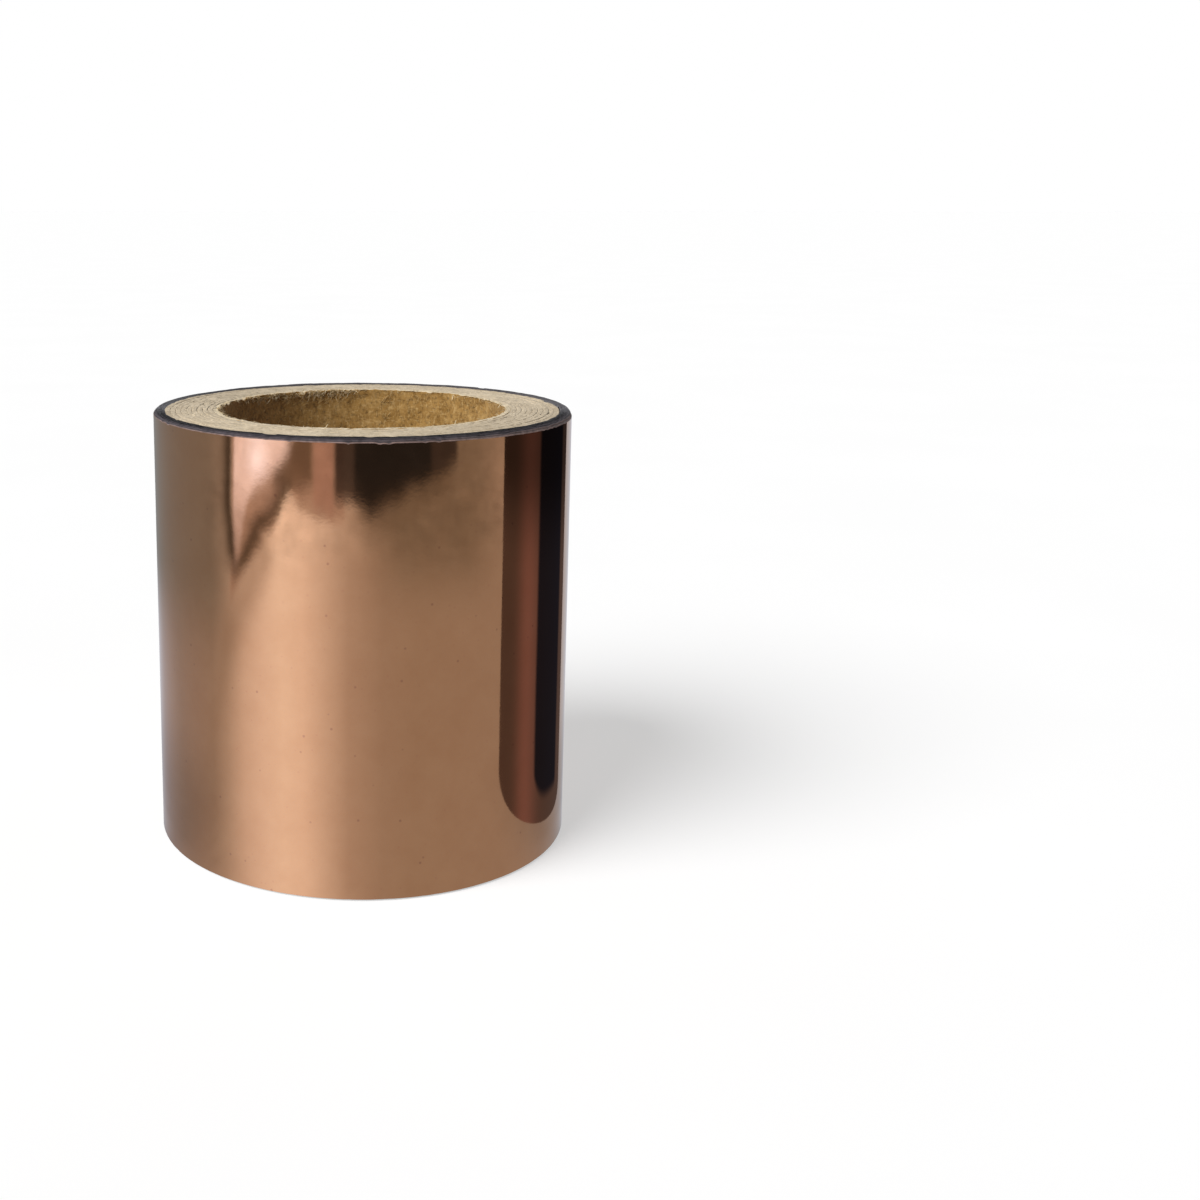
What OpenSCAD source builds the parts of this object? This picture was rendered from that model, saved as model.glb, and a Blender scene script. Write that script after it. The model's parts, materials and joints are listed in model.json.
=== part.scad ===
// Roll of mirror-faced copper foil tape, wound on a spiral-wound paperboard core.
// Millimetres. The core's axis is Z and the roll stands on its end at Z = 0.

/* [Core] */
// Diameter of the bore, a one inch spindle size
bore_d = 25.4; // [20:0.1:40]
// Thickness of one strip of paperboard
ply_t = 0.45; // [0.3:0.05:0.6]
// Number of body plies between the liner and the facing ply
body_plies = 8; // [4:1:12]
// Glue line between two plies
glue_t = 0.02; // [0.02:0.01:0.05]

/* [Tape] */
// Width of the tape, which is also the length of the core
tape_w = 38; // [12:0.5:60]
// Thickness of the metal-faced foil
foil_t = 0.045; // [0.03:0.005:0.1]
// Thickness of the adhesive layer under the foil
adhesive_t = 0.025; // [0.02:0.005:0.05]
// Whole turns of tape on the core
turns = 10; // [4:1:30]
// Air left between one turn and the next
turn_gap = 0.025; // [0.02:0.005:0.05]

/* [Lead end] */
// Angle round the roll at which the free end of the tape lies
lead_end = 150; // [100:1:170]
// Arc of the tape that one stretch of the free end covers
lead_step = 12; // [6:1:15]
// Number of stretches that the free end bends in
lead_count = 5; // [2:1:6]

/* [Hidden] */
$fn = 120;
// Line between the foil and its adhesive
bond_t = 0.005;
// Slit between two stretches of the free end
slit_w = 0.02;
tape_t = adhesive_t + bond_t + foil_t;
pitch = tape_t + turn_gap;
bore_r = bore_d / 2;
ply_pitch = ply_t + glue_t;
ply_count = body_plies + 2;
core_r = bore_r + ply_count * ply_pitch - glue_t;
// The winding starts at this radius, and ends at this one
first_r = core_r + glue_t;
last_r = first_r + turns * pitch;
lead_start = lead_end - lead_count * lead_step;
slit_angle = slit_w / last_r * 180 / PI;
foil_inset = adhesive_t + bond_t;

kraft = [0.60, 0.44, 0.25];
board = [0.80, 0.73, 0.60];
facing = [0.72, 0.62, 0.46];
copper = [0.66, 0.42, 0.29];
dark_adhesive = [0.20, 0.18, 0.18];

// Part of a ring: inner radius r, wall t, from angle a to angle b
module arc_band(r, t, a, b) {
    rotate([0, 0, a])
        rotate_extrude(angle = b - a)
            translate([r, 0])
                square([t, tape_w]);
}

// One strip of the core, counted outwards from the bore, with the liner as 0
module core_ply(index) {
    rotate_extrude()
        translate([bore_r + index * ply_pitch, 0])
            square([ply_t, tape_w]);
}

module core_liner_ply() {
    color(kraft) core_ply(0);
}

module core_body_ply(index) {
    color(board) core_ply(index);
}

module core_facing_ply() {
    color(facing) core_ply(ply_count - 1);
}

// One layer of the wound tape, running outwards counter-clockwise seen from above.
// Half turns about two centres, half a pitch apart, meet edge to edge and climb one pitch a turn.
module wound_layer(inset, t) {
    for (k = [0:turns - 1]) {
        r = first_r + k * pitch + inset;
        arc_band(r, t, 0, 180);
        translate([pitch / 2, 0, 0])
            arc_band(r + pitch / 2, t, 180, 360);
    }
    arc_band(last_r + inset, t, 0, lead_start);
}

module foil_winding() {
    color(copper) wound_layer(foil_inset, foil_t);
}

module adhesive_winding() {
    color(dark_adhesive) wound_layer(0, adhesive_t);
}

// One stretch of one layer of the free end, counted from the winding outwards
module lead_band(index, inset, t) {
    a = lead_start + (index - 1) * lead_step;
    arc_band(last_r + inset, t, a + slit_angle, a + lead_step);
}

module lead_foil(index) {
    color(copper) lead_band(index, foil_inset, foil_t);
}

module lead_adhesive(index) {
    color(dark_adhesive) lead_band(index, 0, adhesive_t);
}

core_liner_ply();
for (i = [1:body_plies])
    core_body_ply(i);
core_facing_ply();
foil_winding();
adhesive_winding();
for (i = [1:lead_count])
    lead_foil(i);
for (i = [1:lead_count])
    lead_adhesive(i);
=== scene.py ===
"""Looks of a roll of mirror-faced copper foil tape on a spiral-wound paperboard core.

Each strip of the core, each layer of the tape and each stretch of its free end is its own piece,
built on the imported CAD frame. Lengths are metres; MM turns millimetres into metres.
"""

import json
import math

import bpy
import numpy as np
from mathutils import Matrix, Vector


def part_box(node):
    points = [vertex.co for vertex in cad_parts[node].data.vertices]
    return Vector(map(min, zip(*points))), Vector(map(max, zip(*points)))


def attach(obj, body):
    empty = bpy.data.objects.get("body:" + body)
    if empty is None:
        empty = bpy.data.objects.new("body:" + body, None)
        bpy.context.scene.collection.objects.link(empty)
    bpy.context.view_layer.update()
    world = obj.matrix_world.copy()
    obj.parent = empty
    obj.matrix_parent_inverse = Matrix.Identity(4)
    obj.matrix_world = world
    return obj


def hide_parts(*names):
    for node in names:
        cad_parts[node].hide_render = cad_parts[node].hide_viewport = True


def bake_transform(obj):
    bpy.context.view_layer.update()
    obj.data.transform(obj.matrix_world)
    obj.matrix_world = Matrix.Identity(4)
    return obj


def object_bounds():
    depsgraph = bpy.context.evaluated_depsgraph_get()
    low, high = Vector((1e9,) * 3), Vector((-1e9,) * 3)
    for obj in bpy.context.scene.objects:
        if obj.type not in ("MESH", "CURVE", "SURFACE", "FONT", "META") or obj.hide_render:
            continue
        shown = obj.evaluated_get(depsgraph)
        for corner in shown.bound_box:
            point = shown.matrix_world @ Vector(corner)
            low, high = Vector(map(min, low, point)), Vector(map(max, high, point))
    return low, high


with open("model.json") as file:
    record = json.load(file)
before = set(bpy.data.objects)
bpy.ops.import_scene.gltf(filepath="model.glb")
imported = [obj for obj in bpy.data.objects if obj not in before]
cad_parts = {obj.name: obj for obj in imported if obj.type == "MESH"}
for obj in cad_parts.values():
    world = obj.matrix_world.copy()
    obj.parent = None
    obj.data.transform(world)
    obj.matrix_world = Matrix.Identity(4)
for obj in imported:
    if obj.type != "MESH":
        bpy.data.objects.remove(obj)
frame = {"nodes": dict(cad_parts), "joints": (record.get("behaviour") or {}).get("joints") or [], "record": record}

MM = 0.001
TAU = 2 * math.pi
cad_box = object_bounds()

# ---------------------------------------------------------------- sizes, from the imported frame

JOINTS = sorted(frame["joints"], key=lambda joint: joint["name"])
MOUNTS = {mount["name"]: mount for mount in frame["record"]["mounts"]}
BODY_PLIES = sorted(name for name in frame["nodes"] if name.startswith("core_body_ply_"))
LINER_PLY = "core_liner_ply"
FACING_PLY = "core_facing_ply"

bore_r = MOUNTS["core_bore"]["dims"]["r_mm"] * MM
tape_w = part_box(LINER_PLY)[1].z
outer_r = cad_box[1].x

# The tape's own layers, from its adhesive face outwards
ADHESIVE_T = 0.025 * MM
BOND_T = 0.005 * MM
FOIL_T = 0.045 * MM
TURN_PITCH = 0.1 * MM
TURNS = 10
foil_inset = ADHESIVE_T + BOND_T
tape_t = foil_inset + FOIL_T
first_r = outer_r - tape_t - TURNS * TURN_PITCH


def joint_angle(joint):
    """Angle round the roll, in radians, at which a hinge of the free end lies."""
    x, y, _ = joint["pos_m"]
    return math.atan2(y, x)


hinge_angles = [joint_angle(joint) for joint in JOINTS]
lead_step = hinge_angles[1] - hinge_angles[0]
lead_start = hinge_angles[0]
lead_end = hinge_angles[-1] + lead_step


# ---------------------------------------------------------------- mesh helpers

def soft_noise(rows, columns, grain, seed):
    """Smooth random field that repeats in both directions, with a spread of 1.
    grain is the size of its features, in cells along each direction."""
    field = np.random.default_rng(seed).standard_normal((rows, columns))
    spectrum = np.fft.rfft2(field)
    row_waves = np.fft.fftfreq(rows)[:, None] * grain[0]
    column_waves = np.fft.rfftfreq(columns)[None, :] * grain[1]
    spectrum *= np.exp(-4 * (row_waves ** 2 + column_waves ** 2))
    spectrum[0, 0] = 0
    field = np.fft.irfft2(spectrum, (rows, columns))
    return field / field.std()


def smooth_step(value, start, end):
    """0 before start and 1 after end, turning smoothly between them."""
    t = np.clip((np.asarray(value, float) - start) / (end - start), 0, 1)
    return t * t * (3 - 2 * t)


def add_mesh(name, points, faces, materials, face_materials=None):
    """A mesh object from an array of points and a list of faces. Its quads are smooth."""
    mesh = bpy.data.meshes.new(name)
    mesh.from_pydata(np.asarray(points, float).reshape(-1, 3).tolist(), [], faces)
    for material in materials:
        mesh.materials.append(material)
    if face_materials is not None:
        mesh.polygons.foreach_set("material_index", np.asarray(face_materials, np.int32))
    mesh.polygons.foreach_set("use_smooth", [len(face) == 4 for face in faces])
    mesh.update()
    made = bpy.data.objects.new(name, mesh)
    bpy.context.scene.collection.objects.link(made)
    return made


def wrapped_faces(columns, rows):
    """Quads of a grid of columns x rows points whose last column joins the first."""
    i, j = np.meshgrid(np.arange(columns), np.arange(rows - 1), indexing="ij")
    after = (i + 1) % columns
    corners = [i * rows + j, after * rows + j, after * rows + j + 1, i * rows + j + 1]
    return np.stack(corners, -1).reshape(-1, 4).tolist()


def section_faces(stations, section, closed):
    """Faces between one closed section and the next. closed joins the last station to the first;
    otherwise each end gets a cap of one face."""
    spans = stations if closed else stations - 1
    i, j = np.meshgrid(np.arange(spans), np.arange(section), indexing="ij")
    after_i, after_j = (i + 1) % stations, (j + 1) % section
    corners = [i * section + j, after_i * section + j,
               after_i * section + after_j, i * section + after_j]
    faces = [tuple(face) for face in np.stack(corners, -1).reshape(-1, 4).tolist()]
    if not closed:
        last = (stations - 1) * section
        faces.append(tuple(range(section)))
        faces.append(tuple(last + k for k in reversed(range(section))))
    return faces


def face_normals(grid):
    """Unit normals of a smooth face of stations x rows points, with a spare station at each end."""
    along = grid[2:] - grid[:-2]
    up = np.gradient(grid[1:-1], axis=1)
    normals = np.cross(along, up)
    return normals / np.linalg.norm(normals, axis=-1, keepdims=True)


def keep_normals(mesh, normals, section):
    """Gives the wall quads of a ribbon the normals of the whole strip, so that its joins don't show."""
    stations, rows = normals.shape[:2]
    loops = np.zeros((len(mesh.loops), 3))
    i, j = np.meshgrid(np.arange(stations - 1), np.arange(rows - 1), indexing="ij")
    first_loop = 4 * (i * section + j)
    for corner, (step_i, step_j) in enumerate(((0, 0), (1, 0), (1, 1), (0, 1))):
        loops[first_loop + corner] = normals[i + step_i, j + step_j]
    mesh.normals_split_custom_set(loops.tolist())


# Places in a swept piece's list of materials. Only a strip of tape has a back of its own.
FACE, EDGE, BACK = 0, 1, 2


def sweep(name, points, section_materials, materials, closed):
    """One piece from stations x section points. section_materials has one number per section edge."""
    stations, section = points.shape[:2]
    faces = section_faces(stations, section, closed)
    spans = stations if closed else stations - 1
    face_materials = np.tile(np.asarray(section_materials), spans)
    if not closed:
        face_materials = np.append(face_materials, [EDGE, EDGE])
    return add_mesh(name, points, faces, materials, face_materials)


# ---------------------------------------------------------------- materials

class Shader:
    """A node material under construction."""

    def __init__(self, name):
        self.material = bpy.data.materials.new(name)
        self.material.use_nodes = True
        self.tree = self.material.node_tree
        self.surface = self.tree.nodes["Principled BSDF"]
        self.place = self.node("ShaderNodeTexCoord").outputs["Object"]

    def node(self, kind, **settings):
        made = self.tree.nodes.new(kind)
        for key, value in settings.items():
            setattr(made, key, value)
        return made

    def link(self, source, target):
        self.tree.links.new(source, target)

    def set(self, **values):
        """Sets inputs of the surface by name, with _ for a space."""
        for key, value in values.items():
            self.surface.inputs[key.replace("_", " ")].default_value = value

    def stretched(self, scale):
        """The object's coordinates, in metres, stretched by a factor along each axis."""
        mapping = self.node("ShaderNodeMapping")
        mapping.inputs["Scale"].default_value = scale
        self.link(self.place, mapping.inputs["Vector"])
        return mapping.outputs["Vector"]

    def noise(self, size, detail=3.0, roughness=0.5, place=None):
        """Noise with features of the given size in metres."""
        made = self.node("ShaderNodeTexNoise")
        made.inputs["Scale"].default_value = 1 / size
        made.inputs["Detail"].default_value = detail
        made.inputs["Roughness"].default_value = roughness
        self.link(place or self.place, made.inputs["Vector"])
        return made.outputs["Fac"]

    def cells(self, size):
        """Distance to the nearest of many scattered points, spaced about size metres apart."""
        made = self.node("ShaderNodeTexVoronoi")
        made.inputs["Scale"].default_value = 1 / size
        self.link(self.place, made.inputs["Vector"])
        return made.outputs["Distance"]

    def ramp(self, source, stops):
        """Colours or greys at places from 0 to 1 along source."""
        made = self.node("ShaderNodeValToRGB")
        while len(made.color_ramp.elements) < len(stops):
            made.color_ramp.elements.new(0.5)
        for element, (position, colour) in zip(made.color_ramp.elements, stops):
            element.position = position
            element.color = (*colour, 1) if hasattr(colour, "__len__") else (colour, colour, colour, 1)
        self.link(source, made.inputs["Fac"])
        return made.outputs["Color"]

    def blend(self, amount, first, second, mode="MIX"):
        """first where amount is 0, second where it is 1. Each is a socket or a colour."""
        made = self.node("ShaderNodeMix", data_type="RGBA", blend_type=mode)
        sockets = (made.inputs[0], made.inputs[6], made.inputs[7])
        for socket, value in zip(sockets, (amount, first, second)):
            if isinstance(value, bpy.types.NodeSocket):
                self.link(value, socket)
            else:
                socket.default_value = value if isinstance(value, float) else (*value, 1)
        return made.outputs[2]

    def bump(self, height, depth):
        """Bump of the given depth in metres for a height from 0 to 1."""
        made = self.node("ShaderNodeBump")
        made.inputs["Strength"].default_value = 1.0
        made.inputs["Distance"].default_value = depth
        self.link(height, made.inputs["Height"])
        self.link(made.outputs["Normal"], self.surface.inputs["Normal"])


def mirror_material():
    """Metallised copper film under a clear face: a mirror that is a little soft and rippled."""
    shader = Shader("mirror_foil")
    cloud = shader.noise(3.2 * MM, detail=5.0, roughness=0.65)
    tone = shader.ramp(cloud, [(0.3, (0.750, 0.403, 0.224)), (0.7, (0.805, 0.452, 0.260))])
    faint = shader.ramp(shader.cells(0.9 * MM), [(0.0, 0.55), (0.07, 0.35), (0.12, 0.0)])
    tone = shader.blend(faint, tone, (0.70, 0.34, 0.21))
    specks = shader.ramp(shader.cells(1.7 * MM), [(0.0, 1.0), (0.05, 0.6), (0.085, 0.0)])
    shader.link(shader.blend(specks, tone, (0.55, 0.27, 0.17)), shader.surface.inputs["Base Color"])
    haze = shader.noise(3.5 * MM, detail=4.0)
    shader.link(shader.ramp(haze, [(0.3, 0.045), (0.75, 0.075)]), shader.surface.inputs["Roughness"])
    shader.set(Metallic=1.0, Coat_Weight=1.0, Coat_Roughness=0.03, Coat_IOR=1.5)
    shader.bump(shader.noise(0.35 * MM, detail=2.0), 0.0009 * MM)
    return shader.material


def foil_edge_material():
    """Slit edges of the film: near black where the turns lie flat, a painted grey violet sheen on the outer ones,
    and a painted pinkish highlight at the outermost edge.
    """
    shader = Shader("foil_edge")
    level = shader.node("ShaderNodeVectorMath", operation="MULTIPLY")
    shader.link(shader.place, level.inputs[0])
    level.inputs[1].default_value = (1, 1, 0)
    length = shader.node("ShaderNodeVectorMath", operation="LENGTH")
    shader.link(level.outputs[0], length.inputs[0])
    outward = shader.node("ShaderNodeMapRange")
    outward.inputs["From Min"].default_value = outer_r - 0.62 * MM
    outward.inputs["From Max"].default_value = outer_r - 0.10 * MM
    shader.link(length.outputs["Value"], outward.inputs["Value"])
    # Painted sheen and highlight: the colour lightens towards the outer radius, grey violet on the rounded
    # shoulder and pinkish at its very edge
    tone = shader.ramp(outward.outputs[0], [
        (0.0, (0.008, 0.007, 0.008)), (0.40, (0.013, 0.011, 0.014)),
        (0.60, (0.045, 0.038, 0.044)), (0.90, (0.075, 0.063, 0.070)), (1.0, (0.20, 0.135, 0.120))])
    streaks = shader.noise(0.5 * MM, detail=4.0)
    shade = shader.ramp(streaks, [(0.3, 0.55), (0.7, 1.25)])
    shader.link(shader.blend(1.0, tone, shade, "MULTIPLY"), shader.surface.inputs["Base Color"])
    shader.link(shader.ramp(streaks, [(0.3, 0.45), (0.7, 0.65)]), shader.surface.inputs["Roughness"])
    shader.set(Specular_IOR_Level=0.18)
    shader.bump(shader.noise(0.08 * MM), 0.006 * MM)
    return shader.material


def adhesive_material():
    """Dark, slightly tacky acrylic adhesive."""
    shader = Shader("dark_adhesive")
    mottle = shader.noise(0.9 * MM, detail=4.0)
    shader.link(shader.ramp(mottle, [(0.3, (0.030, 0.026, 0.028)), (0.7, (0.055, 0.047, 0.048))]),
                shader.surface.inputs["Base Color"])
    shader.link(shader.ramp(mottle, [(0.3, 0.28), (0.7, 0.46)]), shader.surface.inputs["Roughness"])
    shader.set(Coat_Weight=0.25, Coat_Roughness=0.2)
    shader.bump(shader.noise(0.25 * MM, detail=3.0), 0.006 * MM)
    return shader.material


def paper_material(name, dark, middle, pale, fibre, bump_depth, pit_shade=0.72):
    """Paperboard: mottled pulp with fibres that lie every way, some of them pale."""
    shader = Shader(name)
    mottle = shader.noise(1.6 * MM, detail=5.0, roughness=0.6)
    tone = shader.ramp(mottle, [(0.30, dark), (0.52, middle), (0.72, pale)])
    for stretch, size in (((1, 1, 4), 0.50), ((1, 4, 1), 0.55), ((4, 1, 1), 0.55)):
        strands = shader.noise(size * MM, detail=3.0, roughness=0.6, place=shader.stretched(stretch))
        mask = shader.ramp(strands, [(0.56, 0.0), (0.70, 0.45)])
        tone = shader.blend(mask, tone, fibre)
    pits = shader.noise(0.30 * MM, detail=4.0, roughness=0.65)
    # Painted shade: the pits that the bump sinks are darkened by pit_shade, and the high points are lightened a
    # little
    shade = shader.ramp(pits, [(0.30, pit_shade), (0.50, 1.0), (0.75, 1.10)])
    shader.link(shader.blend(1.0, tone, shade, "MULTIPLY"), shader.surface.inputs["Base Color"])
    shader.link(shader.ramp(mottle, [(0.3, 0.95), (0.7, 0.80)]), shader.surface.inputs["Roughness"])
    shader.set(Specular_IOR_Level=0.25, Sheen_Weight=0.08)
    rough = shader.noise(0.16 * MM, detail=5.0, roughness=0.7)
    shader.bump(shader.blend(0.5, pits, rough), bump_depth)
    return shader.material


def fibre_material(name, dark, pale):
    """Loose paper fibres, paler than the board where they catch the light."""
    shader = Shader(name)
    mottle = shader.noise(0.5 * MM, detail=2.0)
    shader.link(shader.ramp(mottle, [(0.35, dark), (0.65, pale)]), shader.surface.inputs["Base Color"])
    shader.link(shader.ramp(mottle, [(0.3, 0.9), (0.7, 0.7)]), shader.surface.inputs["Roughness"])
    shader.set(Specular_IOR_Level=0.3)
    return shader.material


mirror = mirror_material()
foil_edge = foil_edge_material()
adhesive = adhesive_material()
kraft = paper_material("kraft_liner", (0.230, 0.122, 0.030), (0.345, 0.196, 0.058),
                       (0.440, 0.270, 0.094), (0.62, 0.43, 0.19), 0.045 * MM, 0.48)
board = paper_material("core_board", (0.42, 0.340, 0.232), (0.500, 0.410, 0.285),
                       (0.575, 0.480, 0.345), (0.65, 0.56, 0.42), 0.020 * MM, 0.66)
liner_edge = paper_material("liner_edge", (0.50, 0.405, 0.265), (0.590, 0.490, 0.335),
                            (0.660, 0.560, 0.400), (0.72, 0.63, 0.47), 0.020 * MM, 0.60)
facing = paper_material("facing_board", (0.40, 0.320, 0.215), (0.48, 0.392, 0.270),
                        (0.560, 0.468, 0.335), (0.62, 0.53, 0.39), 0.020 * MM, 0.66)
# rim_fibre is paler than wall_fibre: partly the cream of the cut board, partly painted light that brightens the
# fibres standing in shade at the back left of the rim
rim_fibre = fibre_material("rim_fibre", (0.58, 0.44, 0.24), (0.86, 0.73, 0.50))
wall_fibre = fibre_material("wall_fibre", (0.38, 0.235, 0.085), (0.62, 0.44, 0.21))


# ---------------------------------------------------------------- paperboard core

END_STATIONS = 720
CROWN_POINTS = 9


def end_crown(seed, groove_depth, sunk):
    """How far the cut end of one ply lies below the core's end, across and round the ply. Every ply is
    cut a little deeper or shallower than its neighbours, sunk below the film, and falls away by
    groove_depth at its glue lines."""
    across = np.linspace(0, 1, CROWN_POINTS)
    rng = np.random.default_rng(seed)
    depth = sunk + rng.uniform(0.012, 0.060) * MM
    depth = depth + 0.014 * MM * soft_noise(END_STATIONS, 1, (50, 1), seed + 1)
    worn = np.clip(0.45 + 0.6 * soft_noise(END_STATIONS, 1, (35, 1), seed + 4), 0.02, 1.5)
    groove = groove_depth * worn * (np.abs(2 * across - 1) ** 4)[None, :]
    grain = 0.014 * MM * soft_noise(END_STATIONS, CROWN_POINTS, (2.6, 1.4), seed + 2)
    lumps = soft_noise(END_STATIONS, CROWN_POINTS, (8, 4), seed + 3)
    tears = 0.09 * MM * smooth_step(lumps, 1.7, 2.6)
    return np.maximum(depth + groove + grain + tears, 0)


def torn_side(angles):
    """1 at the back left of the bore's rim, where the cut tore the liner most, and less elsewhere."""
    back_left = math.radians(135)
    apart = np.abs((angles - back_left + math.pi) % TAU - math.pi)
    return 0.25 + 0.75 * (1 - smooth_step(apart, math.radians(35), math.radians(75)))


def torn_rim(seed):
    """Notches and burrs along the liner's inner edge, added to the depth of its cut end."""
    angles = np.arange(END_STATIONS) / END_STATIONS * TAU
    inner_edge = (1 - np.linspace(0, 1, CROWN_POINTS))[None, :]
    notches = smooth_step(soft_noise(END_STATIONS, 1, (5, 1), seed), 0.2, 1.9)
    burrs = smooth_step(soft_noise(END_STATIONS, 1, (4, 1), seed + 1), 0.4, 1.8)
    torn = torn_side(angles)[:, None]
    return torn * (0.30 * MM * notches * inner_edge ** 1.3 - 0.08 * MM * burrs * inner_edge ** 2)


def core_ring(name, node, materials, seed, groove_depth, sunk, rim=0.0,
              wall_share=(1 / 3, 2 / 3), wall=0.0):
    """One ply of the core. rim is added to the depth of its top end, wall_share places the rows of
    its inner face from top to bottom, and wall is that face's own relief, stations x rows."""
    low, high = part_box(node)
    outer = high.x
    inner = bore_r if node == LINER_PLY else outer - (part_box(LINER_PLY)[1].x - bore_r)
    angles = np.arange(END_STATIONS) / END_STATIONS * TAU
    across = np.linspace(0, 1, CROWN_POINTS)
    top = high.z - end_crown(seed, groove_depth, sunk) - rim
    bottom = low.z + end_crown(seed + 50, groove_depth, sunk) + 0.5 * np.roll(rim, END_STATIONS // 2)
    share = np.asarray(wall_share)
    rows = share.size
    inner_z = top[:, :1] + (bottom[:, :1] - top[:, :1]) * share[None, :]
    outer_z = bottom[:, -1:] + (top[:, -1:] - bottom[:, -1:]) * np.array([[1 / 3, 2 / 3]])
    edge_r = inner + (outer - inner) * across
    radius = np.concatenate([
        np.full((END_STATIONS, 2), outer),
        np.tile(edge_r[::-1], (END_STATIONS, 1)),
        np.broadcast_to(inner + wall, (END_STATIONS, rows)),
        np.tile(edge_r, (END_STATIONS, 1))], axis=1)
    height = np.concatenate([outer_z, top[:, ::-1], inner_z, bottom], axis=1)
    points = np.stack([radius * np.cos(angles)[:, None], radius * np.sin(angles)[:, None], height], -1)
    section = radius.shape[1]
    section_materials = np.full(section, FACE)
    section_materials[2:1 + CROWN_POINTS] = EDGE
    section_materials[2 + CROWN_POINTS + rows:-1] = EDGE
    piece = sweep(name, points, section_materials, materials, closed=True)
    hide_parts(node)
    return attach(piece, "roll")


def bore_wall_relief(share):
    """Relief of the bore's kraft face: matted fibres, soft dents, the winding seam of the strip,
    and a lip that curls into the bore along the torn top edge."""
    angles = np.arange(END_STATIONS) / END_STATIONS * TAU
    fine_rows = 380
    matted = 0.016 * MM * soft_noise(END_STATIONS, fine_rows, (2.8, 3.6), 11)
    dents = 0.014 * MM * soft_noise(END_STATIONS, fine_rows, (14, 20), 12)
    gouges = 0.05 * MM * smooth_step(soft_noise(END_STATIONS, fine_rows, (7, 5), 13), 1.9, 2.8)
    place = share * (fine_rows - 1)
    low = np.floor(place).astype(int)
    part = place - low
    field = np.clip(matted + dents, -0.05 * MM, 0.05 * MM) + gouges
    relief = field[:, low] * (1 - part) + field[:, np.minimum(low + 1, fine_rows - 1)] * part
    turned = (angles / TAU)[:, None] + 0.55 * (1 - share)[None, :] + 0.42
    seam = np.abs(turned % 1.0 - 0.5)
    seam_groove = 0.030 * MM * np.exp(-(seam / 0.0022) ** 2)
    lips = smooth_step(soft_noise(END_STATIONS, 1, (5, 1), 14), 0.0, 1.6) * torn_side(angles)[:, None]
    curl = 0.16 * MM * lips * np.exp(-(share * tape_w / (0.22 * MM)) ** 1.5)[None, :]
    return relief + seam_groove + 0.02 * MM - curl


def build_core():
    """The ten plies of the core, from the kraft liner out to the facing."""
    end_rows = 11
    middle_rows = 78
    close = 1.1 * MM / tape_w
    near_end = np.linspace(0.04 * MM / tape_w, close, end_rows)
    between_ends = np.linspace(close, 1 - close, middle_rows + 2)[1:-1]
    wall_share = np.concatenate([near_end, between_ends, 1 - near_end[::-1]])
    liner = core_ring("core_liner", LINER_PLY, [kraft, liner_edge], seed=100,
                      groove_depth=0.042 * MM, sunk=0.0, rim=torn_rim(seed=21),
                      wall_share=wall_share, wall=bore_wall_relief(wall_share))
    for number, node in enumerate(BODY_PLIES, start=1):
        ply = core_ring("core_board_ply_%d" % number, node, [board, board], seed=200 + 100 * number,
                        groove_depth=(0.048 - 0.004 * number) * MM, sunk=0.009 * number * MM)
    outer_ply = core_ring("core_facing", FACING_PLY, [facing, facing], seed=1500,
                          groove_depth=0.014 * MM, sunk=0.08 * MM)


FIBRE_SIDES = 4
FIBRE_STEPS = 6
FRINGE_FIBRES = 260
MATTED_FIBRES = 1500
TUFT_FIBRES = 70
TORN_SLIVERS = 9
ABOVE_CORE = 0.22 * MM
BELOW_CORE = 0.05 * MM


def fibre_points(base, direction, curl, length, radius, flat=1.0):
    """Rings of points along one fibre that starts at base, leaves along direction and bends by curl.
    flat below 1 makes it a sliver of paper, wider than it is thick."""
    direction = direction / np.linalg.norm(direction)
    side = np.cross(direction, [0.3, 0.5, 0.81])
    side /= np.linalg.norm(side)
    up = np.cross(direction, side)
    points = []
    for step in range(FIBRE_STEPS):
        t = step / (FIBRE_STEPS - 1)
        centre = base + direction * length * t + curl * length * t * t
        size = radius * (1.0 - 0.75 * t)
        for k in range(FIBRE_SIDES):
            a = TAU * k / FIBRE_SIDES
            points.append(centre + size * (math.cos(a) * side + flat * math.sin(a) * up))
    return np.array(points)


def add_fibres(name, fibres, material):
    """One piece holding many closed fibres, none of which stands far out of the core's ends."""
    faces = []
    per_fibre = FIBRE_SIDES * FIBRE_STEPS
    for index in range(len(fibres)):
        shift = index * per_fibre
        for face in section_faces(FIBRE_STEPS, FIBRE_SIDES, closed=False):
            faces.append(tuple(shift + corner for corner in face))
    points = np.concatenate(fibres)
    points[:, 2] = np.clip(points[:, 2], -BELOW_CORE, tape_w + ABOVE_CORE)
    made = add_mesh(name, points, faces, [material])
    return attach(made, "roll")


def polar_axes(angle):
    """Unit vectors that point away from the roll's axis and round it, at an angle."""
    outwards = np.array([math.cos(angle), math.sin(angle), 0])
    tangent = np.array([-math.sin(angle), math.cos(angle), 0])
    return outwards, tangent


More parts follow.
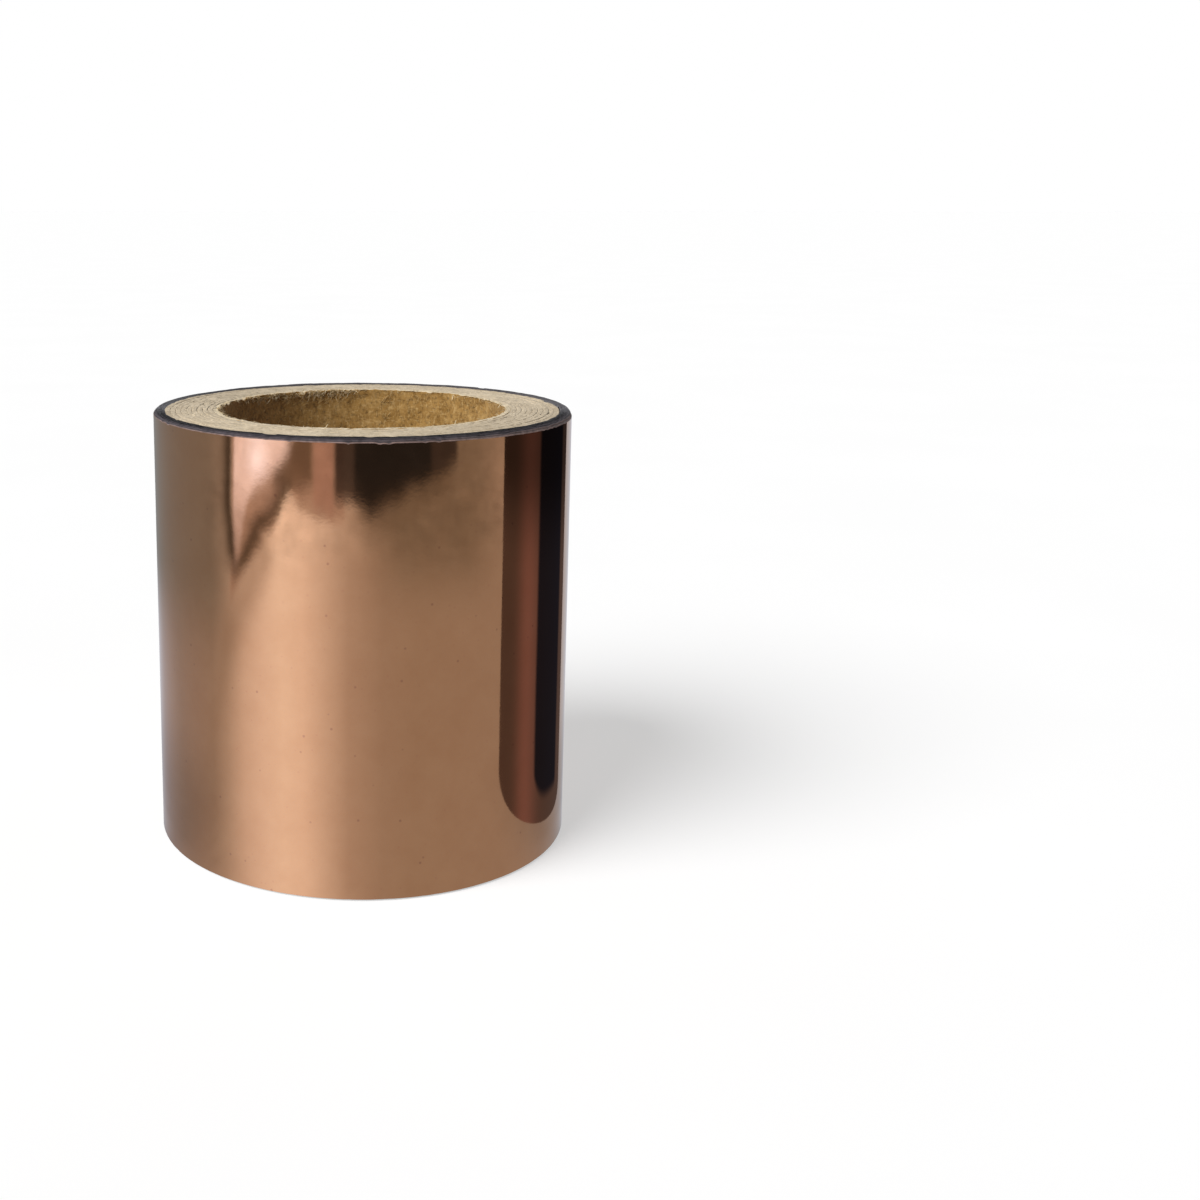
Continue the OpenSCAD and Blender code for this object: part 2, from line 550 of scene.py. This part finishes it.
def build_rim_fibres():
    """Burrs and fuzz that the cut left on the bore's rims, thickest at the back left of the top one,
    where a fringe of fibres also hangs just below it."""
    rng = np.random.default_rng(77)
    fibres = []
    rims = ((tape_w, 1, 260, 260), (0.0, -1, 110, 40))
    for z, up, spread_count, tuft_count in rims:
        angles = list(rng.uniform(0, TAU, spread_count))
        tuft_centres = rng.uniform(math.radians(92), math.radians(195), 14)
        for _ in range(tuft_count):
            angles.append(rng.choice(tuft_centres) + rng.normal(0, 0.025))
        for index, angle in enumerate(angles):
            outwards, tangent = polar_axes(angle)
            sliver = index % 3 == 0
            base = outwards * (bore_r + rng.uniform(0.0, 0.16) * MM)
            base[2] = z - up * rng.uniform(0.02, 0.14) * MM
            direction = -outwards * rng.uniform(0.0, 0.9) + tangent * rng.normal(0, 0.9)
            direction[2] = up * rng.uniform(-0.25, 0.25)
            curl = tangent * rng.normal(0, 0.25) - outwards * rng.uniform(-0.1, 0.2)
            curl[2] = -up * rng.uniform(0.0, 0.35)
            length = rng.uniform(0.15, 0.70) * MM
            radius = rng.uniform(0.030, 0.065) * MM if sliver else rng.uniform(0.010, 0.022) * MM
            fibres.append(fibre_points(base, direction, curl, length, radius, 0.3 if sliver else 1.0))
    for _ in range(FRINGE_FIBRES):
        outwards, tangent = polar_axes(rng.uniform(math.radians(96), math.radians(150)))
        base = outwards * (bore_r - 0.01 * MM)
        base[2] = tape_w - rng.uniform(0.1, 0.55) * MM
        direction = -outwards * rng.uniform(0.0, 0.45) + tangent * rng.normal(0, 0.7)
        direction[2] = -rng.uniform(-0.2, 0.9)
        curl = tangent * rng.normal(0, 0.3) - outwards * rng.uniform(-0.1, 0.1)
        length = rng.uniform(0.2, 0.75) * MM
        fibres.append(fibre_points(base, direction, curl, length, rng.uniform(0.015, 0.05) * MM, 0.4))
    return add_fibres("bore_rim_fibres", fibres, rim_fibre)


def build_bore_fibres():
    """Fibres that lie matted on the bore's face, a torn tuft below the rim's back left, and a few
    slivers of paper beside it."""
    rng = np.random.default_rng(78)
    fibres = []
    for _ in range(MATTED_FIBRES):
        outwards, tangent = polar_axes(rng.uniform(0, TAU))
        base = outwards * (bore_r + rng.uniform(-0.005, 0.03) * MM)
        base[2] = rng.uniform(0.6 * MM, tape_w - 0.3 * MM)
        tilt = rng.uniform(0, math.pi)
        direction = tangent * math.cos(tilt)
        direction[2] = math.sin(tilt)
        curl = -outwards * rng.uniform(-0.05, 0.06) + tangent * rng.normal(0, 0.12)
        length = rng.uniform(0.25, 1.0) * MM
        fibres.append(fibre_points(base, direction, curl, length, rng.uniform(0.012, 0.030) * MM))
    for _ in range(TUFT_FIBRES):
        outwards, tangent = polar_axes(rng.uniform(math.radians(98), math.radians(128)))
        base = outwards * bore_r
        base[2] = tape_w - rng.uniform(0.2, 1.5) * MM
        direction = -outwards * rng.uniform(0.05, 0.35) - tangent * rng.uniform(0.2, 0.9)
        direction[2] = rng.uniform(0.3, 1.0)
        curl = tangent * rng.normal(0, 0.2) - outwards * rng.uniform(0, 0.15)
        length = rng.uniform(0.3, 0.9) * MM
        fibres.append(fibre_points(base, direction, curl, length, rng.uniform(0.018, 0.045) * MM, 0.4))
    for _ in range(TORN_SLIVERS):
        outwards, tangent = polar_axes(math.radians(80) + rng.normal(0, 0.02))
        base = outwards * bore_r
        base[2] = tape_w - rng.uniform(0.9, 1.3) * MM
        direction = -outwards * rng.uniform(0.3, 0.7) - tangent * rng.uniform(0.3, 0.8)
        direction[2] = rng.uniform(0.3, 0.8)
        curl = tangent * rng.normal(0, 0.15)
        length = rng.uniform(0.5, 1.0) * MM
        fibres.append(fibre_points(base, direction, curl, length, rng.uniform(0.04, 0.07) * MM, 0.3))
    return add_fibres("bore_wall_fibres", fibres, wall_fibre)


# ---------------------------------------------------------------- wound tape

WALL_ROWS = 100
PLAIN_ROWS = 5
INNER_ROWS = 3
EDGE_SHARE = np.array([0.12, 0.5, 0.88])
WEAR_TURNS = 16
OUTER_STATIONS = 781
LEAD_STEPS = 36
ROUND_CELLS = 720
ROLLED_EDGE = 0.0009
SHOULDER_W = 0.45 * MM
SHOULDER_H = 0.50 * MM
BOTTOM_SHARE = 0.2
GLUE_RECESS = 0.035 * MM
END_LIFT = 0.12 * MM
OUTER_TURN_START = math.radians(-20)


def spiral(theta, offset):
    """Point of the winding at angle theta since its start, offset outwards from the tape's inner face.
    Half turns about two centres, half a pitch apart, climb one pitch a turn."""
    theta = np.asarray(theta, float)
    turn = np.floor(theta / TAU + 1e-9)
    within = theta - turn * TAU
    lower = within > math.pi
    radius = first_r + turn * TURN_PITCH + offset + np.where(lower, TURN_PITCH / 2, 0)
    centre = np.where(lower, TURN_PITCH / 2, 0)
    return centre + radius * np.cos(theta), radius * np.sin(theta)


def shoulder_drop(radius):
    """How far the film's edge lies below the roll's end at a radius: flat, then rounded off outside."""
    u = np.clip((radius - (outer_r - SHOULDER_W)) / SHOULDER_W, 0, 1)
    return SHOULDER_H * u ** 2.4


def back_points(wall_rows):
    """Which points of a ribbon's section lie on its inner face."""
    first = wall_rows + EDGE_SHARE.size
    return slice(first, first + INNER_ROWS)


def section_heights(top, bottom, wall_rows, back):
    """Heights of the points of a ribbon's section, from those of its edges over and under each one."""
    middle_share = np.linspace(0.006, 0.994, wall_rows - 4)
    share = np.concatenate([[0, ROLLED_EDGE], middle_share, [1 - ROLLED_EDGE, 1]])[None, :]
    inner_share = np.linspace(1, 0, INNER_ROWS)[None, :]
    return np.concatenate([
        bottom[:, :1] + (top[:, :1] - bottom[:, :1]) * share,
        top[:, wall_rows:back.start],
        bottom[:, back] + (top - bottom)[:, back] * inner_share,
        bottom[:, back.stop:]], axis=1)


def ribbon(name, theta, inset, thickness, wall_rows, materials,
           recess=0.0, rippled=False, lifted=False):
    """A stretch of one layer of the tape. Its section runs up the outer face, over the top edge,
    down the inner face and under the bottom edge. recess sets its edges back from the film's,
    rippled makes its outer face uneven, and lifted raises the free end's last part."""
    spacing = theta[1] - theta[0]
    theta = np.concatenate([[theta[0] - spacing], theta, [theta[-1] + spacing]])
    outer_offset = inset + thickness
    offsets = np.concatenate([
        np.full(wall_rows, outer_offset),
        outer_offset - thickness * EDGE_SHARE,
        np.full(INNER_ROWS, inset),
        inset + thickness * EDGE_SHARE])
    x, y = spiral(theta[:, None], offsets[None, :])
    radius = np.hypot(x, y)
    drop = shoulder_drop(radius) + recess + edge_wear(theta)
    back = back_points(wall_rows)
    z = section_heights(tape_w - drop, BOTTOM_SHARE * drop, wall_rows, back)
    push = np.zeros_like(radius)
    if rippled:
        push[:, :wall_rows] += face_ripple(theta, wall_rows)
    if lifted:
        push += end_lift(theta)[:, None]
    scale = 1 + push / radius
    points = np.stack([x * scale, y * scale, z], -1)
    normals = face_normals(points[:, :wall_rows])
    points = points[1:-1]
    section_materials = np.full(offsets.size, EDGE)
    section_materials[:wall_rows - 1] = FACE
    section_materials[back.start:back.stop - 1] = BACK
    piece = sweep(name, points, section_materials, materials, closed=False)
    keep_normals(piece.data, normals, offsets.size)
    return piece


def round_place(theta):
    """The cells on either side of each angle, ROUND_CELLS to a turn, and the share between them."""
    place = (np.asarray(theta) / TAU * ROUND_CELLS) % ROUND_CELLS
    low = np.floor(place).astype(int) % ROUND_CELLS
    return low, (low + 1) % ROUND_CELLS, (place - np.floor(place))[:, None]


def face_ripple(theta, wall_rows):
    """Faint unevenness of the mirror face, a few thousandths of a millimetre over a few millimetres.
    It depends on the angle alone, so that one stretch runs on into the next."""
    broad = 0.0030 * MM * soft_noise(ROUND_CELLS, wall_rows, (60, 26), 41)
    fine = 0.0006 * MM * soft_noise(ROUND_CELLS, wall_rows, (14, 8), 42)
    field = broad + fine
    low, high, share = round_place(theta)
    return field[low] * (1 - share) + field[high] * share


def along_edge(theta, depth, grain, seed):
    """Unevenness of the slit edges, the same on every layer of one turn and different on the next."""
    field = depth * soft_noise(ROUND_CELLS, WEAR_TURNS, (grain, 1), seed)
    low, high, share = round_place(theta)
    turn = np.floor(theta / TAU).astype(int) % WEAR_TURNS
    return field[low, turn][:, None] * (1 - share) + field[high, turn][:, None] * share


def edge_wear(theta):
    """How far the slit edges lie in from straight, with a deeper nick here and there."""
    wear = along_edge(theta, 0.010 * MM, grain=24, seed=51)
    wear = wear + along_edge(theta, 0.008 * MM, grain=6, seed=52)
    nicks = along_edge(theta, 0.06 * MM, grain=2.5, seed=53) - 0.05 * MM
    return wear + np.maximum(nicks, 0)


def end_lift(theta):
    """How far the free end stands off the roll: nothing at first, most at its cut edge."""
    along = (theta - TURNS * TAU - lead_start) / (lead_end - lead_start)
    return END_LIFT * smooth_step(along, 0.55, 1.25)


def build_winding():
    """The wound turns: the foil's inner ones, its outermost one, and the adhesive under them all."""
    inner_end = (TURNS - 1) * TAU + lead_start + OUTER_TURN_START
    outer_end = TURNS * TAU + lead_start - lead_step / 2
    stations_a_turn = 240
    inner_theta = np.linspace(0, inner_end, int(inner_end / TAU * stations_a_turn))
    inner_turns = ribbon("foil_inner_turns", inner_theta, foil_inset, FOIL_T, PLAIN_ROWS,
                         [foil_edge, foil_edge, adhesive])
    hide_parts("foil_winding")
    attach(inner_turns, "roll")
    outer_theta = np.linspace(inner_end, outer_end, OUTER_STATIONS)
    outer_turn = ribbon("foil_outer_turn", outer_theta, foil_inset, FOIL_T, WALL_ROWS,
                        [mirror, foil_edge, adhesive], rippled=True)
    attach(outer_turn, "roll")
    glue_theta = np.linspace(0, outer_end, int(outer_end / TAU * stations_a_turn))
    glue = ribbon("adhesive_turns", glue_theta, 0.0, ADHESIVE_T, PLAIN_ROWS,
                  [adhesive, adhesive, adhesive], recess=GLUE_RECESS)
    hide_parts("adhesive_winding")
    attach(glue, "roll")


def build_lead():
    """The free end, in stretches that each reach across one hinge, with its last part lifted off the roll."""
    for number, joint in enumerate(JOINTS, start=1):
        start = hinge_angles[number - 1] - lead_step / 2
        finish = lead_end if number == len(JOINTS) else start + lead_step
        stations = 1 + round(LEAD_STEPS * (finish - start) / lead_step)
        theta = TURNS * TAU + np.linspace(start, finish, stations)
        film = ribbon("foil_lead_%d" % number, theta, foil_inset, FOIL_T, WALL_ROWS,
                      [mirror, foil_edge, adhesive], rippled=True, lifted=True)
        glue = ribbon("adhesive_lead_%d" % number, theta, 0.0, ADHESIVE_T, PLAIN_ROWS,
                      [adhesive, adhesive, adhesive], recess=GLUE_RECESS, lifted=True)
        for piece, node, slot in ((film, "lead_foil_%d" % number, "mirror_foil"),
                                  (glue, "lead_adhesive_%d" % number, "dark_adhesive")):
            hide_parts(node)
            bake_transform(piece)


# ---------------------------------------------------------------- studio
# The studio in the mirror face is a painted reflection on glowing stand-ins. In it, directions are degrees from
# the front towards the right, and distances and heights are millimetres from the roll's axis and its foot.

def emission_material(name):
    """Light of the colour stored in the mesh's own colour attribute."""
    material = bpy.data.materials.new(name)
    material.use_nodes = True
    tree = material.node_tree
    tree.nodes.clear()
    tone = tree.nodes.new("ShaderNodeAttribute")
    tone.attribute_name = "tone"
    light = tree.nodes.new("ShaderNodeEmission")
    output = tree.nodes.new("ShaderNodeOutputMaterial")
    tree.links.new(tone.outputs["Color"], light.inputs["Color"])
    tree.links.new(light.outputs[0], output.inputs[0])
    return material


def paint(thing, tone):
    """Stores a colour for each point of a mesh, for its emission material to show."""
    colours = thing.data.color_attributes.new("tone", "FLOAT_COLOR", "POINT")
    rgba = np.concatenate([tone.reshape(-1, 3), np.ones((tone.size // 3, 1))], axis=1)
    colours.data.foreach_set("color", rgba.astype(np.float32).ravel())


def show_in_reflections_only(thing):
    """Hides a thing from everything but the mirror face's reflections."""
    thing.visible_camera = False
    thing.visible_diffuse = False
    thing.visible_shadow = False
    thing.visible_transmission = False
    thing.visible_glossy = True


# Painted reflection of the studio, the brightness the mirror face shows: twice the angle round the face, then its
# colour
PAINTED_REFLECTION_STOPS = [
    (-180, (0.78, 0.78, 0.84)), (-168, (0.70, 0.69, 0.74)), (-154, (0.52, 0.51, 0.55)),
    (-140, (0.40, 0.385, 0.41)),
    (-115, (0.325, 0.31, 0.31)), (-96, (0.335, 0.31, 0.30)), (-84, (0.355, 0.33, 0.31)),
    (-74, (0.50, 0.475, 0.455)), (-63, (0.74, 0.71, 0.70)), (-52, (0.88, 0.86, 0.86)),
    (-41, (0.98, 0.98, 0.98)), (-30, (0.93, 0.91, 0.90)), (-19, (0.72, 0.69, 0.67)),
    (-7, (0.50, 0.46, 0.43)), (10, (0.39, 0.355, 0.32)), (27, (0.365, 0.33, 0.29)),
    (80, (0.36, 0.325, 0.29)), (120, (0.38, 0.35, 0.33)), (152, (0.50, 0.50, 0.53)),
    (166, (0.66, 0.66, 0.72)), (180, (0.78, 0.78, 0.84))]
VIEWER_DISTANCE = 132
REFLECTED_FLOOR_DEPTH = 1.3
PAINTED_FLOOR_R = 250
FLOOR_GAP = 0.06 * MM


def mirror_azimuth(azimuth, distance):
    """Twice the angle round the face, in degrees, at which a viewer in front sees a place on the floor.
    azimuth is degrees from the front towards the right, and distance is mm from the roll's axis."""
    face = np.radians(np.linspace(-88, 88, 353))
    roll_r = outer_r / MM
    x, y = roll_r * np.sin(face), -roll_r * np.cos(face)
    leaves = 2 * face + np.arctan2(x, VIEWER_DISTANCE + y)
    away_x, away_y = np.sin(leaves), -np.cos(leaves)
    along = x * away_x + y * away_y
    travel = -along + np.sqrt(along ** 2 + max(distance, roll_r + 0.5) ** 2 - roll_r ** 2)
    reached = np.unwrap(np.arctan2(x + travel * away_x, -(y + travel * away_y)))
    reached -= reached[reached.size // 2]
    return np.interp(azimuth, np.degrees(reached), np.degrees(2 * face))


def slanted(field):
    """A field of azimuth x distance sheared into streaks that run down to the right on the face."""
    return np.stack([np.roll(field[:, k], -3 * k) for k in range(field.shape[1])], 1)


def hump(value, width):
    """1 at 0, falling off softly on both sides over about width."""
    return np.exp(-(value / width) ** 2)


def between(value, low, high, soft):
    """1 between low and high, and 0 outside them, turning over soft on either side of each."""
    rise = smooth_step(value, low - soft, low + soft)
    return rise * (1 - smooth_step(value, high - soft, high + soft))


def cover(tone, mask, colour):
    """tone with a colour laid over it where mask is 1."""
    return tone * (1 - mask[..., None]) + np.asarray(colour) * mask[..., None]


def lay_dimmer_sides(tone, seen, distance):
    """Painted shade in the reflection: further out, the floor is dimmer on the left and a little dimmer in front
    on the right.
    """
    left = between(seen, -165, -74, 12) * smooth_step(distance, 60, 125)
    tone = cover(tone, 0.92 * left, (0.215, 0.216, 0.205))
    right = between(seen, 8, 66, 14) * smooth_step(distance, 95, 165)
    return cover(tone, 0.75 * right, (0.17, 0.155, 0.125))


def lay_wedge(tone, azimuth, distance):
    """Painted reflection of a wedge of mid tone at the upper left, with a dark edge that falls to its tip."""
    wedge_edge = np.interp(azimuth, [-69, -46, -39, -31, -21, -9],
                           [114, 167, 200, 182, 173, 174])
    inside = between(azimuth, -70, -9, 1.2) * smooth_step(distance - wedge_edge, -9, 7)
    tone = cover(tone, inside, (0.42, 0.345, 0.315))
    slope = 128 + 2.7 * (azimuth + 66)
    fall = between(azimuth, -69.5, -36, 1.5) * hump(distance - slope, 10.5)
    tone = cover(tone, 0.95 * fall * smooth_step(distance, 117, 136), (0.058, 0.046, 0.033))
    # Painted shade below the dark edge
    under = between(azimuth, -76, -46, 5.0) * hump(distance - slope + 28, 26)
    tone = cover(tone, 0.50 * under, (0.30, 0.265, 0.23))
    corner = between(azimuth, -46, -25, 2.5) * smooth_step(distance, 192, 214)
    return cover(tone, 0.88 * corner, (0.135, 0.105, 0.078))


def lay_pane(tone, azimuth, distance):
    """Painted reflection of a bright pane at the wedge's far end, narrowing down to the tip, with a painted
    highlight in it.
    """
    pane_edge = np.interp(azimuth, [-68, -65, -63, -59, -50, -42, -33],
                          [122, 140, 160, 190, 211, 232, 258])
    pane = between(azimuth, -69.3, -34, 1.0) * smooth_step(distance - pane_edge, -12, 14)
    tone = cover(tone, pane * smooth_step(distance, 112, 222), (1.02, 1.03, 1.22))
    shine = hump(azimuth + 55, 5.5) * hump(distance - 236, 22)
    return cover(tone, 0.9 * shine, (1.5, 1.75, 2.4))


def lay_line_and_column(tone, azimuth, distance):
    """Painted reflection of a dark line left of the wedge, soft on its left, and of a paler column right of it."""
    apart = azimuth - np.interp(distance, [125, 150, 185], [-68, -70, -72.6])
    line = hump(apart, np.where(apart < 0, 4.8, 2.2)) * smooth_step(distance, 118, 144)
    tone = cover(tone, 0.94 * line, (0.055, 0.048, 0.038))
    column = between(azimuth, -24.5, -14.3, 1.6) * smooth_step(distance, 168, 182)
    return cover(tone, 0.9 * column, (0.41, 0.305, 0.285))


def lay_dark_shape(tone, azimuth, distance):
    """Painted reflection of a dark shape in front, whose lower edge climbs to the right, with painted shade
    beneath it.
    """
    near_edge = np.interp(azimuth, [-14, -6, 0, 4, 9, 18, 28, 39, 50],
                          [192, 189, 182, 178, 182, 192, 205, 216, 236])
    shade = between(azimuth, -3, 46, 4.0) * smooth_step(distance - near_edge, -36, 2)
    tone = cover(tone, 0.5 * shade, (0.125, 0.105, 0.072))
    dark = between(azimuth, -14, 49, 1.6) * smooth_step(distance - near_edge, -12, 14)
    tone = cover(tone, 0.95 * dark, (0.042, 0.036, 0.035))
    darkest = between(azimuth, -4, 35, 1.6) * smooth_step(distance - near_edge, -6, 16)
    return cover(tone, 0.92 * darkest, (0.018, 0.019, 0.020))


def painted_reflection_tone(azimuth, distance, seen):
    """Painted reflection: colour of the glowing studio floor at a direction and distance, and at the face angle
    that shows it.
    """
    stops = np.array([stop for stop, _ in PAINTED_REFLECTION_STOPS], float)
    colours = np.array([colour for _, colour in PAINTED_REFLECTION_STOPS])
    tone = np.stack([np.interp(seen, stops, colours[:, k]) for k in range(3)], -1)
    # Painted waver: everything far out wavers, as a mirror face that isn't quite flat would make it
    cells = azimuth.shape
    wavering = 3.0 * soft_noise(*cells, (16, 16), 91) + 1.4 * slanted(soft_noise(*cells, (8, 3), 92))
    distance = distance + wavering * smooth_step(distance, 110, 160)
    tone = lay_dimmer_sides(tone, seen, distance)
    for lay in (lay_wedge, lay_pane, lay_line_and_column, lay_dark_shape):
        tone = lay(tone, azimuth, distance)
    # Painted mottle over everything far out, as from the same unevenness
    mottle = 0.7 * slanted(soft_noise(*cells, (9, 2.4), 93)) + 0.3 * soft_noise(*cells, (4, 2), 94)
    far_out = smooth_step(distance, 118, 175) * smooth_step(np.abs(azimuth), 100, 70)
    tone = tone * (1 + 0.13 * np.clip(mottle, -2, 2) * far_out)[..., None]
    # Painted shadow: the floor is dimmer close to the roll, beside it
    beside = between(np.abs(azimuth), 66, 170, 16) * (1 - smooth_step(distance, 24, 52))
    return tone * (1 - 0.28 * beside)[..., None]


def build_reflected_studio():
    """Glowing floor and backdrop that only the mirror face sees, painted with its reflection: a wide disc that
    curves up into a dome.
    """
    columns = 720
    floor_edge, curve_r = 400, 500
    floor_radii = np.concatenate([
        np.linspace(2, 100, 25), np.linspace(104, 300, 132), [340, floor_edge]])
    rise = np.radians(np.arange(4, 91, 4))
    azimuth = -180 + 360 * np.arange(columns) / columns
    profile_r = np.concatenate([
        floor_radii, floor_edge + curve_r * np.sin(rise), [900, 900, 600, 250, 1]])
    profile_z = np.concatenate([
        np.zeros(floor_radii.size), curve_r * (1 - np.cos(rise)), [700, 950, 1150, 1250, 1270]])
    angle = np.radians(azimuth)[:, None]
    x = profile_r[None, :] * np.sin(angle)
    y = -profile_r[None, :] * np.cos(angle)
    z = np.broadcast_to(profile_z[None, :] - REFLECTED_FLOOR_DEPTH, x.shape)
    points = np.stack([x, y, z], -1) * MM
    dome = add_mesh("reflected_studio", points, wrapped_faces(columns, profile_r.size),
                    [emission_material("painted_reflection_tone")])
    seen = np.stack([mirror_azimuth(azimuth, distance) for distance in profile_r], -1)
    painted_r = np.broadcast_to(np.minimum(profile_r, PAINTED_FLOOR_R)[None, :], x.shape)
    tone = painted_reflection_tone(np.broadcast_to(azimuth[:, None], x.shape), painted_r, seen)
    tone = cover(tone, smooth_step(z, 60, 420), (0.80, 0.80, 0.84))
    paint(dome, tone)
    show_in_reflections_only(dome)


def painted_neighbour_tone(turned, above):
    """Painted reflection on the second roll, at degrees from the side that faces this one, and at mm above this
    one's foot: brown, with a red brown and a black stripe, and painted shade that dims it towards its top."""
    brown, red_brown, black = (0.085, 0.062, 0.055), (0.195, 0.110, 0.100), (0.012, 0.013, 0.020)
    in_red = hump(turned - 28, 9.5) * np.ones_like(above)
    rounded_foot = 1.5 + 2.2 * np.clip((turned - 4) / 16, 0, 1) ** 4
    # The black stripe with its rounded foot is the painted image of this roll in the second one
    black_sides = smooth_step(turned, 21, 18.5) * smooth_step(turned, -9, -5)
    black_foot = smooth_step(above, rounded_foot - 0.9, rounded_foot + 0.5)
    tone = cover(cover(np.asarray(brown), in_red, red_brown), black_sides * black_foot, black)
    # Painted shade: dimmer towards the top
    return tone * (1 - 0.68 * smooth_step(above, 22, 33))[..., None]


def build_neighbour():
    """A glowing second roll that stands close beside this one, painted with what it reflects, seen only in its
    mirror face.
    """
    stations, rows = 1080, 153
    centre_x, centre_y = 2 * outer_r + 5.6 * MM, -0.9 * MM
    foot = -REFLECTED_FLOOR_DEPTH * MM
    height = foot + (tape_w - foot) * np.arange(rows) / (rows - 1)
    angle = np.arange(stations) / stations * TAU
    points = np.stack(np.broadcast_arrays(
        centre_x + outer_r * np.cos(angle)[:, None],
        centre_y + outer_r * np.sin(angle)[:, None],
        height[None, :]), -1)
    lid = tuple(k * rows + rows - 1 for k in range(stations))
    neighbour = add_mesh("reflected_neighbour", points, wrapped_faces(stations, rows) + [lid],
                         [emission_material("painted_neighbour_tone")])
    paint(neighbour, painted_neighbour_tone(np.degrees(angle)[:, None] - 180, (height / MM)[None, :]))
    show_in_reflections_only(neighbour)


def build_floor():
    """Wide level pale floor, seen through from below so that it never hides the underside."""
    radii = np.array([0.02, 0.05, 0.2, 1.0, 4.0, 12.0])
    spokes = 48
    angle = np.arange(spokes) / spokes * TAU
    points = np.stack(np.broadcast_arrays(
        radii[None, :] * np.cos(angle)[:, None],
        radii[None, :] * np.sin(angle)[:, None],
        -FLOOR_GAP), -1)
    facing_up = [face[::-1] for face in wrapped_faces(spokes, radii.size)]
    middle = tuple(k * radii.size for k in range(spokes))
    shader = Shader("studio_floor")
    grain = shader.noise(40 * MM, detail=2.0)
    shader.link(shader.ramp(grain, [(0.3, (0.445, 0.445, 0.445)), (0.7, (0.455, 0.455, 0.455))]),
                shader.surface.inputs["Base Color"])
    shader.set(Roughness=0.9, Specular_IOR_Level=0.0,
               Emission_Color=(1, 1, 1, 1), Emission_Strength=0.52)
    sides = shader.node("ShaderNodeMixShader")
    shader.link(shader.node("ShaderNodeNewGeometry").outputs["Backfacing"], sides.inputs[0])
    shader.link(shader.surface.outputs[0], sides.inputs[1])
    shader.link(shader.node("ShaderNodeBsdfTransparent").outputs[0], sides.inputs[2])
    shader.link(sides.outputs[0], shader.tree.nodes["Material Output"].inputs["Surface"])
    floor = add_mesh("studio_floor", points, facing_up + [middle], [shader.material])
    floor.visible_glossy = False


def build_lights():
    """A soft key from the front left, and a world that is white to the camera and a dim fill light."""
    data = bpy.data.lights.new("key_light", "SUN")
    data.energy = 4.15
    data.angle = math.radians(38)
    lamp = bpy.data.objects.new("key_light", data)
    bpy.context.scene.collection.objects.link(lamp)
    lamp.rotation_euler = (math.radians(46), 0, math.radians(-52))
    lamp.visible_glossy = False
    world = bpy.data.worlds.new("studio_world")
    world.use_nodes = True
    bpy.context.scene.world = world
    tree = world.node_tree
    background = tree.nodes["Background"]
    background.inputs["Color"].default_value = (1, 1, 1, 1)
    background.inputs["Strength"].default_value = 0.14
    backdrop = tree.nodes.new("ShaderNodeBackground")
    backdrop.inputs["Color"].default_value = (1, 1, 1, 1)
    rays = tree.nodes.new("ShaderNodeLightPath")
    mix = tree.nodes.new("ShaderNodeMixShader")
    tree.links.new(rays.outputs["Is Camera Ray"], mix.inputs[0])
    tree.links.new(background.outputs[0], mix.inputs[1])
    tree.links.new(backdrop.outputs[0], mix.inputs[2])
    tree.links.new(mix.outputs[0], tree.nodes["World Output"].inputs[0])


CAMERA_PITCH = 10.45


def build_camera():
    """Camera at the photograph's angle: in front of the roll, a little above it, looking down."""
    data = bpy.data.cameras.new("camera")
    data.sensor_width = 36
    data.lens = 44.9
    data.clip_start = 0.001
    data.shift_x = 0.1983
    data.shift_y = -0.1
    camera = bpy.data.objects.new("camera", data)
    bpy.context.scene.collection.objects.link(camera)
    camera.location = (0, -131.9 * MM, 55.7 * MM)
    camera.rotation_euler = (math.radians(90 - CAMERA_PITCH), 0, 0)
    bpy.context.scene.camera = camera


build_camera()
build_core()
build_rim_fibres()
build_bore_fibres()
build_winding()
build_lead()
build_reflected_studio()
build_neighbour()
build_floor()
build_lights()
bpy.context.scene.view_settings.view_transform = "Standard"
